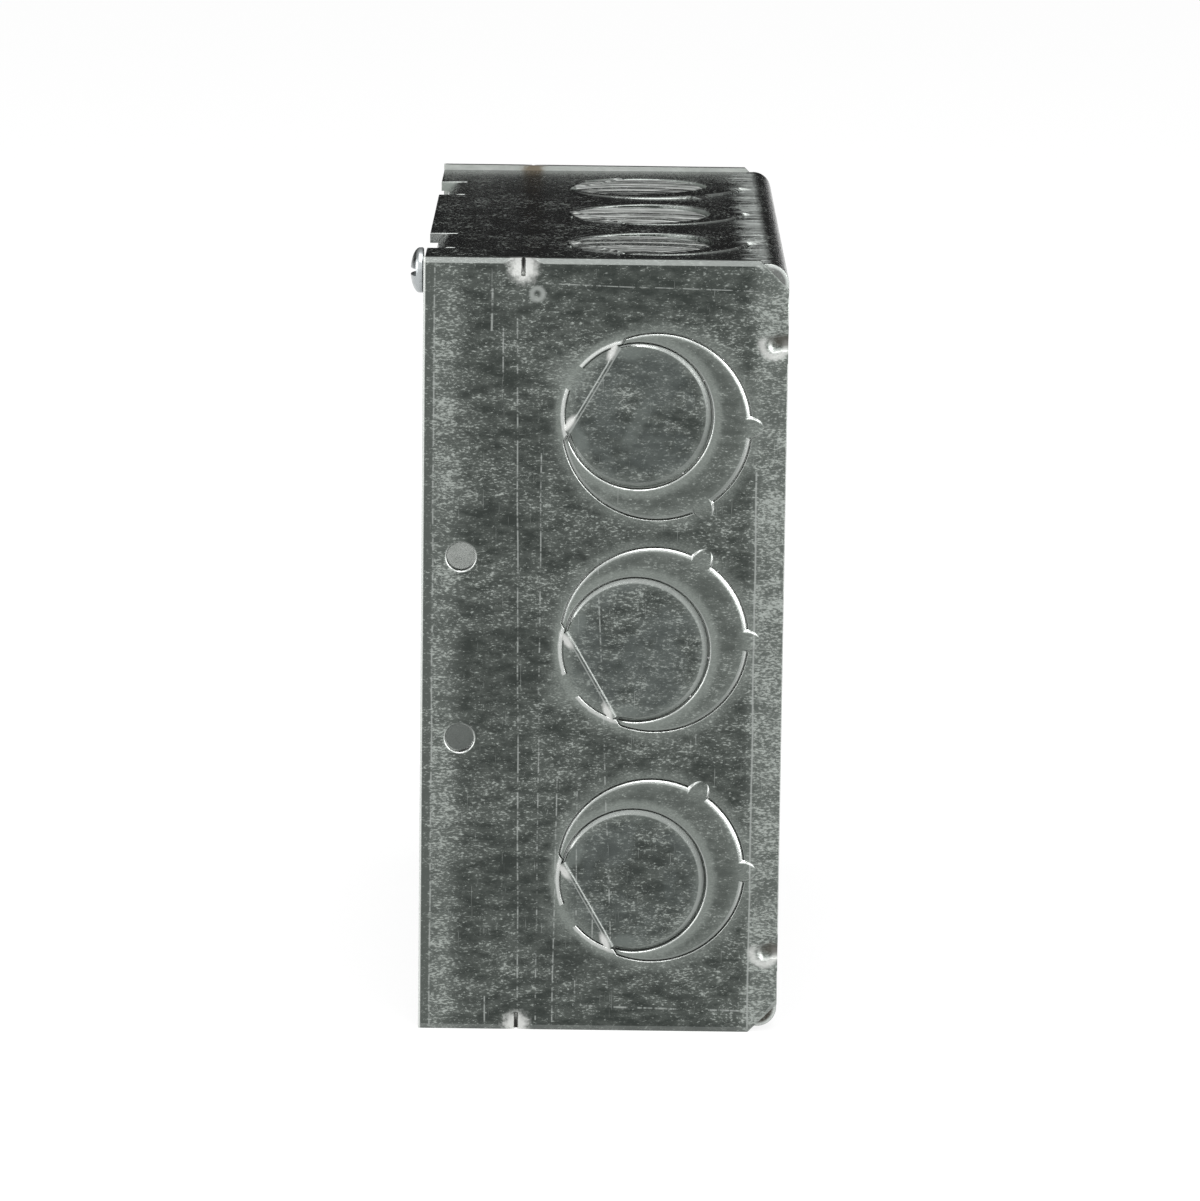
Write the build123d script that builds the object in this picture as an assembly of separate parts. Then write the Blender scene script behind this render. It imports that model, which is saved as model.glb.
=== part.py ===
from build123d import *
import os
from math import atan2, degrees

# A welded square outlet box of galvanised steel sheet. One sheet folded into a U makes the top, the back
# and the bottom, and two equal stamped plates are welded over its open ends.
# The origin is the centre of the back's outer face. The open front faces -Y, and +Z is up.

# The box
box_side = 119.06           # 4 11/16 in, over both plates and over their top and bottom edges
box_depth = 54.9            # front edge to back face
sheet = 1.59                # 1/16 in steel sheet

# The folded sheet
bend_radius = 3.0           # outside of the two bends at the back
flap_inset = 0.6            # flap lies this far inside the plates' edges at the back
flap_drop = 0.3             # and it has sprung inwards by this much at its front edge

# The side plates
corner_cut = 4.4            # chamfer on the plates' back corners
plate_edge_chamfer = 0.4    # rolled-over outer edge of the plates
nail_hole_radius = 2.15
nail_hole_spacing = 28.0
nail_hole_from_front = 6.0

# Weld pinches along the plates' edges
weld_from_front = 15.0      # on the top and bottom edges
weld_from_end = 12.6        # on the back edge, from the top and the bottom
weld_dish_length = 4.2      # shallow dish, running out inwards from the edge
weld_dish_width = 5.8
weld_dish_depth = 0.5
weld_slit_width = 0.7
weld_slit_length = 2.6
weld_slit_depth = 0.9

# Eccentric knockouts: a small slug inside a crescent ring. The two circles touch on the hinge's side.
slug_radius = 11.1          # 1/2 in trade size
ring_radius = 14.3          # 3/4 in trade size
ring_lift = 0.45            # ring stands out by this much where it is widest
crease_at = 7.85            # fold line across the slug, from its centre, where the ring ends too
hinge_width = 3.9           # uncut bridge that holds the slug, between two slits
slit_width = 0.2
slug_drop = 0.15            # slug is folded in by this much opposite its hinge
hinge_slant = 30.0          # hinge direction, away from straight to the front
wall_knockouts = 3
knockout_spacing = 35.85
knockout_from_back = 22.3   # slug centres on the side walls

# Back wall
back_slug_drop = 0.4        # single knockout in the middle, pressed into the box by this much
screw_hole_radius = 2.6
screw_hole_spacing = 88.9   # 3 1/2 in, one pair on each centre line
ground_boss_at = 22.0       # above the centre
ground_boss_radius = 6.5    # outside of the boss, inside the box
ground_boss_height = 2.4
ground_hole_radius = 2.42   # No. 10-32 thread

# Cover ears, bent inwards from the front edges of the flaps
ear_at = 33.0               # ear centres, from the middle of the flap
ear_width = 15.8
ear_length = 10.6           # below the flap's outer face
ear_bend_radius = 2.4       # outside of the bend
ear_recess = 1.1            # ear's face lies this far behind the front edge
ear_corner_radius = 3.0
relief_width = 0.9          # slot to each side of the ear
relief_depth = 4.2

# Cover screws
screw_radius = 2.08         # No. 8-32
screw_clearance = 0.07
screw_length = 9.5          # 3/8 in under the head
screw_axis_below = 4.65     # below the flap's outer face at its front edge
head_radius = 3.5
head_height = 2.0
head_standoff = 1.8         # screw is not driven home
slot_width = 1.1
slot_depth = 0.9

half_side = box_side / 2
ring_centre = slug_radius - ring_radius     # behind the slug's centre, so that the two circles touch
half_wrap = half_side - sheet               # the plates cover the ends of the folded sheet
back_height = half_side - flap_inset        # half height of the fold at the back
front_height = back_height - flap_drop      # and at the front edge
screw_height = front_height - screw_axis_below
margin = 1.0                                # cutters reach this far past what they cut
knockout_reach = 4 * ring_radius            # longer than a knockout, for what divides its outlines
half_turn = Rot(0, 180, 0)                  # the box is the same after half a turn about its depth axis


def flap_height(y):
    """Height of the top flap's outer face at a depth."""
    return back_height + flap_drop * y / box_depth


def section_strip(points, radius):
    """Section of the sheet in the YZ plane, to the left of its bent outer line of (Y, Z) points."""
    line = FilletPolyline(*points, radius=radius)
    return Plane.YZ * make_face(offset(line, amount=sheet, side=Side.LEFT))


def wall_slice(outline, low, high):
    """Solid of an outline between two heights."""
    return extrude(Pos(0, 0, low) * outline, high - low)


# A knockout is drawn about its slug's centre: +X runs to the hinge, and the wall's outer face is Z = 0.
def crescent():
    """Outline of the ring: between the two circles, as far as the crease."""
    ring_side = Pos(crease_at - knockout_reach / 2, 0) * Rectangle(knockout_reach, knockout_reach)
    ring = (Pos(ring_centre, 0) * Circle(ring_radius)) & ring_side
    return ring - Circle(slug_radius)


def hinge_slits():
    """Outline of the two slits: the rest of the slug's circle, from the crease to the hinge."""
    hinge_side = Pos(crease_at + knockout_reach / 2, 0) * Rectangle(knockout_reach, knockout_reach)
    circle = Circle(slug_radius + slit_width / 2) - Circle(slug_radius - slit_width / 2)
    return (circle & hinge_side) - Rectangle(knockout_reach, hinge_width)


def slanting_slab(far_x, far_height, level):
    """Slab between a level and a face that slants from the crease to a far height."""
    profile = Polyline(
        (crease_at, 0),
        (crease_at, level),
        (far_x, level),
        (far_x, far_height),
        close=True,
    )
    return extrude(Plane.XZ * make_face(profile), ring_radius + margin, both=True)


def add_knockouts(wall, places):
    """Press a ring out of the wall, fold its slug in and slit the sheet beside the hinge."""
    ring = slanting_slab(ring_centre - ring_radius, ring_lift, -sheet / 2)
    ring = ring & wall_slice(crescent(), -sheet, ring_lift + margin)
    slug_recess = slanting_slab(-slug_radius, -slug_drop, margin)
    slug_recess = slug_recess & wall_slice(Circle(slug_radius), -sheet, 2 * margin)
    slits = wall_slice(hinge_slits(), -sheet - margin, margin)
    for place in places:
        wall = wall + place * ring - place * slug_recess - place * slits
    return wall


def row_of_knockouts(wall_plane):
    """Places along a side wall whose plane's +X runs to the front. The first hinge slants the other way."""
    places = []
    for index in range(wall_knockouts):
        along = (index - (wall_knockouts - 1) / 2) * knockout_spacing
        slant = -hinge_slant if index == 0 else hinge_slant
        places.append(wall_plane * Pos(0, along) * Rot(0, 0, slant))
    return places


def weld_pinch():
    """Shallow dish with a slit that runs out to the edge at X = 0. The plate's outer face is Z = 0."""
    run_out = degrees(atan2(weld_dish_depth, weld_dish_length))
    block = Pos(weld_dish_length, 0, margin) * Box(2 * weld_dish_length, weld_dish_width, 2 * margin)
    dish = Pos(-weld_dish_length, 0) * Rot(0, run_out, 0) * block
    slit_size = (weld_slit_length + margin, weld_slit_width, weld_slit_depth + margin)
    slit_x = (margin - weld_slit_length) / 2
    slit = Pos(slit_x, 0, (margin - weld_slit_depth) / 2) * Box(*slit_size)
    return dish + slit


def side_plate():
    """Stamped plate on the +X side, with its back corners cut off."""
    outline = Pos(-box_depth / 2, 0) * Rectangle(box_depth, box_side)
    back_corners = outline.vertices().sort_by(Axis.X)[-2:]
    outline = chamfer(back_corners, corner_cut)
    # The plate is drawn with its depth along X, then stood up in the YZ plane, outer face to +X.
    upright = Plane(origin=(half_side, 0, 0), x_dir=(0, 1, 0), z_dir=(1, 0, 0))
    plate = extrude(Pos(0, 0, -sheet) * outline, sheet)
    plate = chamfer(plate.faces().sort_by(Axis.Z)[-1].edges(), plate_edge_chamfer)

    nail_hole = Cylinder(nail_hole_radius, 2 * sheet + margin)
    for side in (-1, 1):
        plate -= Pos(nail_hole_from_front - box_depth, side * nail_hole_spacing / 2, 0) * nail_hole

    pinch = weld_pinch()
    for side in (-1, 1):
        plate -= Pos(weld_from_front - box_depth, side * half_side) * Rot(0, 0, side * 90) * pinch
        plate -= Pos(0, side * (half_side - weld_from_end)) * pinch

    wall_plane = Plane(origin=(-knockout_from_back, 0, 0), x_dir=(-1, 0, 0), z_dir=(0, 0, 1))
    plate = add_knockouts(plate, row_of_knockouts(wall_plane))
    return upright * plate


def ear_tab():
    """Ear of the top flap, centred on X = 0: the flap's front edge bent down, with its tapped hole."""
    face_y = ear_recess - box_depth
    root_y = relief_depth + margin - box_depth
    path = [
        (root_y, flap_height(root_y)),
        (face_y, flap_height(face_y)),
        (face_y, front_height - ear_length),
    ]
    ear = extrude(section_strip(path, ear_bend_radius), ear_width / 2, both=True)
    foot_corners = ear.edges().filter_by(Axis.Y).group_by(Axis.Z)[0]
    ear = fillet(foot_corners, ear_corner_radius)
    hole = Cylinder(screw_radius + screw_clearance, 2 * sheet)
    return ear - Pos(0, face_y + sheet / 2, screw_height) * Rot(90, 0, 0) * hole


def ground_boss():
    """Boss pressed into the box, so that a screw's end stays clear of the wall: what it adds and cuts."""
    inwards = Plane(origin=(0, 0, ground_boss_at), x_dir=(1, 0, 0), z_dir=(0, -1, 0))
    top = sheet + ground_boss_height
    boss = wall_slice(Circle(ground_boss_radius), sheet / 2, top)
    recess = wall_slice(Circle(ground_boss_radius - sheet), -margin, ground_boss_height)
    hole = wall_slice(Circle(ground_hole_radius), -margin, top + margin)
    return inwards * boss, inwards * (recess + hole)


def back_knockout():
    """Single slug in the middle of the back, pressed level into the box: what it adds and cuts."""
    inwards = Plane(origin=(0, 0, 0), x_dir=(1, 0, 0), z_dir=(0, -1, 0))
    slug = wall_slice(Circle(slug_radius), sheet / 2, sheet + back_slug_drop)
    recess = wall_slice(Circle(slug_radius), -margin, back_slug_drop)
    return inwards * slug, inwards * recess


def back_wrap():
    """Top, back and bottom in one folded sheet, with the ears at the front."""
    path = [
        (-box_depth, -front_height),
        (0, -back_height),
        (0, back_height),
        (-box_depth, front_height),
    ]
    wrap = extrude(section_strip(path, bend_radius), half_wrap, both=True)

    relief = Box(ear_width + 2 * relief_width, 2 * relief_depth, 2 * (sheet + flap_drop))
    ear = ear_tab()
    for side in (-1, 1):
        notch = Pos(side * ear_at, -box_depth, front_height) * relief
        tab = Pos(side * ear_at, 0, 0) * ear
        wrap = wrap - notch - half_turn * notch
        wrap = wrap + tab + half_turn * tab

    screw_hole = Rot(90, 0, 0) * Cylinder(screw_hole_radius, 4 * sheet)
    for side in (-1, 1):
        wrap -= Pos(side * screw_hole_spacing / 2, 0, 0) * screw_hole
        wrap -= Pos(0, 0, side * screw_hole_spacing / 2) * screw_hole

    for added, cut in (ground_boss(), back_knockout()):
        wrap = wrap + added - cut

    flap = Plane(
        origin=(0, -knockout_from_back, flap_height(-knockout_from_back)),
        x_dir=(0, -box_depth, -flap_drop),
        z_dir=(0, -flap_drop, box_depth),
    )
    flap_places = row_of_knockouts(flap)
    return add_knockouts(wrap, flap_places + [half_turn * place for place in flap_places])


def cover_screw():
    """Slotted screw in the +X ear of the top flap, not driven home."""
    head = Pos(0, 0, head_height / 2) * Cylinder(head_radius, head_height)
    slot = Pos(0, 0, head_height) * Box(2 * head_radius + margin, slot_width, 2 * slot_depth)
    shank = Pos(0, 0, -screw_length / 2) * Cylinder(screw_radius, screw_length)
    seat_y = ear_recess - box_depth - head_standoff
    seat = Plane(origin=(ear_at, seat_y, screw_height), x_dir=(1, 0, 0), z_dir=(0, -1, 0))
    return seat * (head - slot + shank)


plate = side_plate()
screw = cover_screw()
nodes = {
    "back_wrap": back_wrap(),
    "right_side_plate": plate,
    "left_side_plate": half_turn * plate,
    "cover_screws": Compound(children=[screw, half_turn * screw]),
}

os.makedirs("parts", exist_ok=True)
for name, shape in nodes.items():
    export_step(shape, f"parts/{name}.step")
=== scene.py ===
import bmesh
import bpy
from math import acos, asin, atan2, cos, hypot, pi, radians, sin, sqrt
from mathutils import Matrix, Vector


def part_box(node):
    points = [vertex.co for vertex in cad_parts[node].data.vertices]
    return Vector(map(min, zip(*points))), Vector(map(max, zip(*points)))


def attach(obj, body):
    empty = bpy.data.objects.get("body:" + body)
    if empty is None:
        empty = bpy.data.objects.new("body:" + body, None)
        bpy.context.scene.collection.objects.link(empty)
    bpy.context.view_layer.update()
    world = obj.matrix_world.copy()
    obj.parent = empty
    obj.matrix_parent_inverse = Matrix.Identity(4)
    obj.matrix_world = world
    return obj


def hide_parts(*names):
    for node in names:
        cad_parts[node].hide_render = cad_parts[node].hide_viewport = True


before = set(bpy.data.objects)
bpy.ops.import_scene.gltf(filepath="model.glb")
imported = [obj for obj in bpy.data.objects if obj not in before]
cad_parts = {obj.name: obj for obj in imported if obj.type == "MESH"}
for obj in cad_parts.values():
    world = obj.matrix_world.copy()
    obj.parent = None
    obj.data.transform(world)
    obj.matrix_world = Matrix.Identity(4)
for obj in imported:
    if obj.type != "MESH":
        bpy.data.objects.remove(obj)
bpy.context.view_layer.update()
print("frame loaded:", sorted(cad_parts))

# Shapes are drawn in millimetres and put in place in metres.
mm = 0.001
toMetres = Matrix.Scale(mm, 4)
halfTurn = Matrix.Rotation(pi, 4, "Y")

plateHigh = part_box("right_side_plate")[1]
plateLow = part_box("right_side_plate")[0]
halfSide = plateHigh.z / mm
boxDepth = -plateLow.y / mm

near = 0.01                 # an edge this close to a line lies on it
loopGap = 0.004             # ends of a drawn loop that are one point
pointGap = 0.0005           # points of a turned shape that are one point

sheet = {
    "thickness": 1.59,
    "rim": 0.2,             # rounding of cut edges
    "plateRim": 0.8,        # width and depth of the side plates' slanting edge
    "plateRimDepth": 0.3,
    "frontRim": 0.34,
    "holeRim": 0.4,
    "rimSegments": 3,
    "sharpAngle": 0.6,      # faces that meet at more than this keep a sharp edge
}

knockout = {
    "slugRadius": 11.1,
    "ringRadius": 14.3,
    "creaseAt": 7.85,       # fold line, from the slug's centre
    "slit": 0.24,           # width of the sheared line
    "slitSteps": 14,
    "hingeWidth": 3.9,
    "hingeSlant": 30.0,
    "ringLift": 0.45,
    "ringLow": 0.08,        # share of the lift beside the hinge
    "ringStart": 0.42,      # where the ring begins, as an angle from the hinge
    "slugDrop": 0.15,
    "slugRim": 0.72,        # width of the slug's slanting rim, and how much wider it is opposite the hinge
    "slugRimShift": 0.34,
    "slugRimDepth": 0.34,
    "ringRim": 1.1,
    "flapRingRim": 0.75,
    "ringRimDepth": 0.42,
    "ringInnerRim": 0.5,
    "ringInnerDepth": 0.24,
    "tieAngle": 30.0,
    "tieIn": 1.5,           # how far a tie lies on the ring, and how far it runs out on the wall
    "tieOut": 2.1,
    "tieWidth": 3.5,
    "tieSegments": 30,
    "burrWidth": 0.6,       # raised lip outside the hinge's slits
    "burrHeight": 0.15,
    "burrSteps": 18,
    "creaseWidth": 0.9,
    "creaseHeight": 0.14,
    "creaseEnd": 3.2,       # length over which the crease broadens
    "creaseSegments": 24,
    "spacing": 35.85,
    "fromBack": 22.3,
    "count": 3,
    "steps": 112,
}


# Drawing tools: a pen that leaves edges behind it, and ways to finish and gather shapes.

def linesTo(bm, tip, *points):
    for x, y in points:
        tip = bmesh.ops.extrude_vert_indiv(bm, verts=[tip])["verts"][0]
        tip.co = (x, y, 0)
    return tip


def arcBy(bm, tip, centre, angle, steps):
    turned = bmesh.ops.spin(bm, geom=[tip], cent=(centre[0], centre[1], 0), axis=(0, 0, 1),
                            angle=angle, steps=steps)
    return [item for item in turned["geom_last"] if isinstance(item, bmesh.types.BMVert)][0]


def circleLoop(bm, x, y, radius, segments):
    bmesh.ops.create_circle(bm, cap_ends=False, radius=radius, segments=segments,
                            matrix=Matrix.Translation((x, y, 0)))


def sectionLoop(bm, corners):
    verts = [bm.verts.new(corner) for corner in corners]
    return verts + [bm.edges.new((verts[index - 1], verts[index])) for index in range(len(verts))]


def gather(target, source, place=Matrix.Identity(4)):
    source.transform(place)
    carrier = bpy.data.meshes.new("carrier")
    source.to_mesh(carrier)
    source.free()
    target.from_mesh(carrier)
    bpy.data.meshes.remove(carrier)


def mergePoints(bm, gap):
    bmesh.ops.remove_doubles(bm, verts=bm.verts[:], dist=gap)


def faceOut(bm):
    bmesh.ops.recalc_face_normals(bm, faces=bm.faces[:])


def closeEnds(bm):
    bmesh.ops.holes_fill(bm, edges=bm.edges[:], sides=0)
    faceOut(bm)


def roundEdges(bm, edges, width, segments):
    bmesh.ops.bevel(bm, geom=edges, offset=width, offset_type="OFFSET", segments=segments, profile=0.5,
                    affect="EDGES", material=-1, loop_slide=False, clamp_overlap=True)


def extruded(bm, geom, keep):
    made = bmesh.ops.extrude_face_region(bm, geom=geom, use_keep_orig=keep)
    return [item for item in made["geom"] if isinstance(item, bmesh.types.BMVert)]


def giveFloor(bm, level):
    # closes a curved face below with its own copy, laid flat
    for vert in extruded(bm, bm.faces[:], True):
        vert.co.z = level
    faceOut(bm)


def sliceAt(bm, point, normal, keepBelow=False):
    whole = bm.verts[:] + bm.edges[:] + bm.faces[:]
    bmesh.ops.bisect_plane(bm, geom=whole, dist=0.0001, plane_co=point, plane_no=normal,
                           clear_outer=keepBelow)


def cutAt(bm, x):
    # keeps what lies below x and closes the cut
    sliceAt(bm, (x, 0, 0), (1, 0, 0), True)
    closeEnds(bm)


def spinProfile(points, angle, steps, start=0.0, closed=True):
    # turns a profile of (radius, height) points about Z
    bm = bmesh.new()
    verts = [bm.verts.new((radius, 0, height)) for radius, height in points]
    edges = [bm.edges.new(pair) for pair in zip(verts, verts[1:])]
    if closed:
        edges.append(bm.edges.new((verts[-1], verts[0])))
    bmesh.ops.rotate(bm, verts=verts, cent=(0, 0, 0), matrix=Matrix.Rotation(start, 3, "Z"))
    full = abs(angle - 2 * pi) < 0.001
    bmesh.ops.spin(bm, geom=verts + edges, cent=(0, 0, 0), axis=(0, 0, 1), angle=angle, steps=steps,
                   use_merge=full)
    mergePoints(bm, pointGap)
    return bm


def roundProfile(width, depth, steps):
    # quarter of an ellipse, from the flat to the wall: distance from the wall and drop
    points = []
    for step in range(steps + 1):
        angle = pi / 2 * step / steps
        points.append((width * (1 - sin(angle)), depth * (1 - cos(angle))))
    return points


def smoothShare(value, low, high):
    share = min(max((value - low) / (high - low), 0), 1)
    return share * share * (3 - 2 * share)


def upperEdges(bm, rimAt):
    # the sheet's upper edges with their rounding
    found = []
    for edge in bm.edges:
        level = min(vert.co.z for vert in edge.verts) > -0.001
        if level and len(edge.link_faces) == 2 and edge.calc_face_angle() > 1.0:
            middle = (edge.verts[0].co + edge.verts[1].co) / 2
            found.append((rimAt(middle.x, middle.y), edge))
    return found


def thickPanel(bm, rimAt):
    # fills the drawn loops, gives the sheet its thickness below z = 0 and rounds its upper edges:
    # rimAt gives the rounding at a point, or 0 where the sheet goes on
    mergePoints(bm, loopGap)
    bmesh.ops.triangle_fill(bm, use_beauty=True, use_dissolve=False, edges=bm.edges[:], normal=(0, 0, 1))
    bmesh.ops.dissolve_limit(bm, angle_limit=0.01, verts=bm.verts[:], edges=bm.edges[:])
    lower = extruded(bm, bm.faces[:], True)
    bmesh.ops.translate(bm, verts=lower, vec=(0, 0, -sheet["thickness"]))
    faceOut(bm)
    for rim in sorted({rim for rim, edge in upperEdges(bm, rimAt) if rim}, reverse=True):
        edges = [edge for edgeRim, edge in upperEdges(bm, rimAt) if edgeRim == rim]
        roundEdges(bm, edges, rim, 1 if rim == sheet["plateRim"] else sheet["rimSegments"])


def markSharp(bm):
    for face in bm.faces:
        face.smooth = True
    for edge in bm.edges:
        joined = edge.smooth and len(edge.link_faces) == 2
        edge.smooth = joined and edge.calc_face_angle() < sheet["sharpAngle"]


def finishPiece(name, bm, material, node):
    bm.transform(toMetres)
    markSharp(bm)
    mesh = bpy.data.meshes.new(name)
    bm.to_mesh(mesh)
    bm.free()
    mesh.materials.append(material)
    piece = bpy.data.objects.new(name, mesh)
    bpy.context.scene.collection.objects.link(piece)
    flatten = piece.modifiers.new("flatSheet", "WEIGHTED_NORMAL")
    flatten.keep_sharp = True
    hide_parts(node)
    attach(piece, "root")
    print(name, "has", len(mesh.polygons), "faces")
    return piece


# Knockouts, drawn about the slug's centre with +X running to the hinge.

def knockoutPlaces():
    # in a wall's own frame: X along the depth, Y across, Z outwards
    places = []
    for index in range(knockout["count"]):
        along = ((knockout["count"] - 1) / 2 - index) * knockout["spacing"]
        slant = radians(-knockout["hingeSlant"] if index == 0 else knockout["hingeSlant"])
        turn = Matrix.Rotation(pi + slant, 4, "Z")
        places.append(Matrix.Translation((-knockout["fromBack"], along, 0)) @ turn)
    return places


def wallRim(x, y):
    # rounding of a wall's cut edges, with none along a hinge's slits
    for place in knockoutPlaces():
        spot = place.inverted() @ Vector((x, y, 0))
        away = hypot(spot.x, spot.y)
        if spot.x > knockout["creaseAt"] - near and away < knockout["slugRadius"] + knockout["slit"]:
            return 0
    return sheet["rim"]


def ringCentre():
    return knockout["slugRadius"] - knockout["ringRadius"]


def knockoutOpening():
    radius = knockout["slugRadius"]
    crease = knockout["creaseAt"]
    outer = radius + knockout["slit"] / 2
    inner = radius - knockout["slit"] / 2
    ringX = ringCentre()
    ringY = sqrt(knockout["ringRadius"] ** 2 - (crease - ringX) ** 2)
    ringAngle = atan2(ringY, crease - ringX)
    outerAngle = acos(crease / outer)
    innerAngle = acos(crease / inner)
    hinge = asin(knockout["hingeWidth"] / 2 / radius)
    slits = [
        ((crease, -outer * sin(outerAngle)), outerAngle - hinge),
        ((inner * cos(hinge), -inner * sin(hinge)), hinge - innerAngle),
        ((crease, inner * sin(innerAngle)), hinge - innerAngle),
        ((outer * cos(hinge), outer * sin(hinge)), outerAngle - hinge),
    ]
    bm = bmesh.new()
    tip = bm.verts.new((crease, ringY, 0))
    tip = arcBy(bm, tip, (ringX, 0), 2 * (pi - ringAngle), knockout["steps"])
    for corner, turn in slits:
        tip = linesTo(bm, tip, corner)
        tip = arcBy(bm, tip, (0, 0), turn, knockout["slitSteps"])
    linesTo(bm, tip, (crease, ringY))
    return bm


def knockoutSlug():
    edge = knockout["slugRadius"] - knockout["slit"] / 2
    flat = edge - knockout["slugRim"]
    depth = knockout["slugRimDepth"]
    thickness = sheet["thickness"]
    profile = [(0, 0), (flat - 0.1, 0), (flat + 0.02, -0.04 * depth), (flat + 0.16, -0.16 * depth)]
    profile += [(edge - 0.2, -0.84 * depth), (edge - 0.05, -depth), (edge, -depth - 0.12)]
    profile += [(edge, -thickness), (0, -thickness)]
    bm = spinProfile(profile, 2 * pi, knockout["steps"], closed=False)
    for vert in bm.verts:
        # the rim's upper line, not the slug's middle
        if vert.co.z > -0.2 * depth and hypot(vert.co.x, vert.co.y) > 1:
            vert.co.x += knockout["slugRimShift"]
    cutAt(bm, knockout["creaseAt"])
    tilt = -atan2(knockout["slugDrop"], knockout["creaseAt"] + knockout["slugRadius"])
    bmesh.ops.rotate(bm, verts=bm.verts[:], cent=(knockout["creaseAt"], 0, 0),
                     matrix=Matrix.Rotation(tilt, 3, "Y"))
    return bm


def ringShare(angle):
    # how much of the lift the ring has at an angle from the hinge
    low = knockout["ringLow"]
    return low + (1 - low) * (0.5 - 0.5 * cos(angle)) ** 1.5


def knockoutRing(lift, rim):
    outer = knockout["ringRadius"] - knockout["slit"]
    slug = knockout["slugRadius"] + knockout["slit"] / 2
    offset = -ringCentre()
    inner = slug - offset       # narrowest place, beside the hinge
    middle = (inner + outer) / 2
    thickness = sheet["thickness"]
    rollDepth = knockout["ringRimDepth"]
    profile = [(inner, -thickness)]
    for inset, depth in reversed(roundProfile(knockout["ringInnerRim"], knockout["ringInnerDepth"], 4)):
        profile.append((inner + inset, -depth))
    # the outer rim, in shares of its width and depth
    roll = ((1.0, 0.0), (0.8, 0.04), (0.6, 0.14), (0.4, 0.33), (0.2, 0.62), (0.05, 0.93), (0.0, 1.05))
    profile += [(outer - inset * rim, -drop * rollDepth) for inset, drop in roll]
    profile.append((outer, -thickness))
    start = knockout["ringStart"]
    bm = spinProfile(profile, 2 * (pi - start), knockout["steps"], start)
    # The inner side follows the slug's circle, and the ring rises towards its widest place.
    for vert in bm.verts:
        angle = atan2(vert.co.y, vert.co.x)
        radius = hypot(vert.co.x, vert.co.y)
        share = ringShare(angle)
        height = vert.co.z
        if radius < middle:
            reach = offset * cos(angle) + sqrt(slug ** 2 - (offset * sin(angle)) ** 2)
            radius += reach - inner
        elif height > -rollDepth - 0.2:
            height *= 0.25 + 0.75 * share
            radius = outer - (outer - radius) * (0.4 + 0.6 * share)
        vert.co = (radius * cos(angle) - offset, radius * sin(angle), height + lift * share)
    cutAt(bm, knockout["creaseAt"] - knockout["slit"])
    return bm


def pressedTie(lift):
    # stretched metal that still holds the ring: it leaves the ring level and runs out on the wall along X
    half = knockout["tieWidth"] / 2
    inside = knockout["tieIn"]
    outside = knockout["tieOut"]
    segments = knockout["tieSegments"]
    sunk = 0.06                 # the tie's own edge lies this far below the wall
    bm = bmesh.new()
    bmesh.ops.create_grid(bm, x_segments=segments, y_segments=segments, size=1)
    for vert in bm.verts:
        x = 0.5 * (inside + outside) * (vert.co.x + 1) - inside
        y = half * vert.co.y
        out = max(x, 0)
        share = hypot(y / (half - 0.22 * out), out / outside)
        height = lift * smoothShare(x, outside, -0.4) - 0.01
        height -= sunk * smoothShare(x, -0.7 * inside, -inside)
        fall = height + sunk if x > 0 else knockout["ringRimDepth"]
        vert.co = (x, y, height - fall * smoothShare(share, 0.76, 1.0))
    giveFloor(bm, -0.5 * sheet["thickness"])
    return bm


def slitBurr(side):
    # raised lip along the outside of a slit, from the crease to the hinge
    inside = knockout["slugRadius"] + knockout["slit"] / 2
    outside = inside + knockout["burrWidth"]
    height = knockout["burrHeight"]
    hinge = asin(knockout["hingeWidth"] / 2 / inside)
    crease = acos(knockout["creaseAt"] / inside)
    foot = inside - knockout["slit"] - 0.1
    slope = inside + 0.75 * knockout["burrWidth"]
    profile = [(foot, -1.3), (foot, -1.0), (inside, -1.0), (inside, 0.5 * height), (inside + 0.08, height)]
    profile += [(inside + 0.2, height), (slope, 0.15 * height), (outside, -0.05), (outside, -1.3)]
    bm = spinProfile(profile, crease - hinge, knockout["burrSteps"], hinge if side > 0 else -crease)
    closeEnds(bm)
    return bm


def foldCrease():
    # raised line where the slug folds, broader at its ends
    half = sqrt(knockout["slugRadius"] ** 2 - knockout["creaseAt"] ** 2) - 0.3
    width = knockout["creaseWidth"] / 2
    height = knockout["creaseHeight"]
    segments = knockout["creaseSegments"]
    bm = bmesh.new()
    bmesh.ops.create_cone(bm, cap_ends=True, segments=segments, radius1=1, radius2=1, depth=2 * half,
                          matrix=Matrix.Rotation(pi / 2, 4, "X"))
    lengthwise = [edge for edge in bm.edges if abs(edge.verts[0].co.y - edge.verts[1].co.y) > half]
    bmesh.ops.subdivide_edges(bm, edges=lengthwise, cuts=segments, use_grid_fill=True)
    for vert in bm.verts:
        wide = smoothShare(abs(vert.co.y), half - knockout["creaseEnd"], half)
        rise = smoothShare(abs(vert.co.x), 1, 0) if vert.co.z > -0.001 else -1
        vert.co.x = vert.co.x * width * (1 + 0.9 * wide) + 0.3 * wide
        vert.co.z = rise * height * (1 + 0.8 * wide)
    bmesh.ops.translate(bm, verts=bm.verts[:], vec=(knockout["creaseAt"], 0, 0))
    return bm


def addKnockouts(bm, rim):
    lift = knockout["ringLift"]
    edge = knockout["ringRadius"]
    for place in knockoutPlaces():
        gather(bm, knockoutRing(lift, rim), place)
        gather(bm, knockoutSlug(), place)
        gather(bm, foldCrease(), place)
        for side in (-1, 1):
            gather(bm, slitBurr(side), place)
            angle = pi + side * radians(knockout["tieAngle"])
            spot = Matrix.Translation((ringCentre() + edge * cos(angle), edge * sin(angle), 0))
            gather(bm, pressedTie(lift * ringShare(angle)), place @ spot @ Matrix.Rotation(angle, 4, "Z"))


# Side plates

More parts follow.
